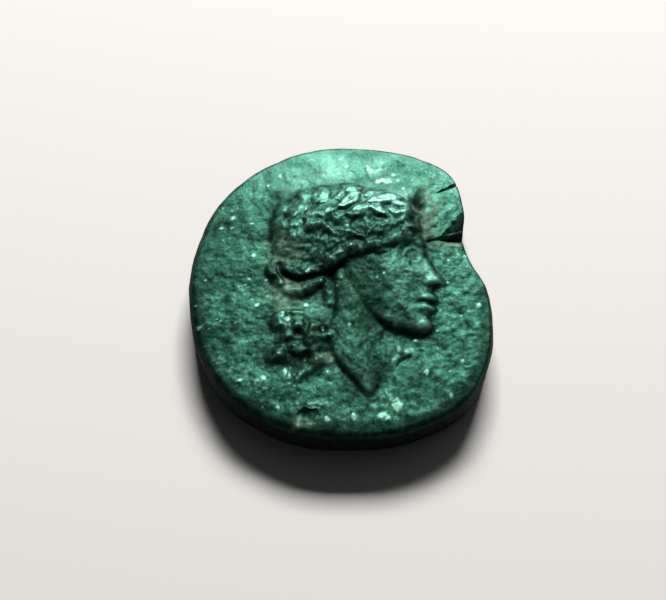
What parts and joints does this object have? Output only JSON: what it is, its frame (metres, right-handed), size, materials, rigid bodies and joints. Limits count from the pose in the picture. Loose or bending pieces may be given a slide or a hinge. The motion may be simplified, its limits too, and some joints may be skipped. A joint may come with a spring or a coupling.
{
  "type": "ancient coin",
  "caption": "Small thick struck copper-alloy coin with a laureate head in relief, a plain flower on its back, a notched and split edge and dark green patina.",
  "frame": {"origin": "middle of the coin's outline, on the plane that its reverse rests on", "axes": "+Z out of the obverse, +X the way the head faces, +Y towards the top of the head"},
  "size_m": [0.0168, 0.018, 0.0038],
  "materials": {
    "patinated_copper_alloy": "copper alloy under a smooth dark green patina with earth in its hollows and pale mineral specks"
  },
  "bodies": {
    "root": {"coin": "patinated_copper_alloy"}
  },
  "joints": []
}
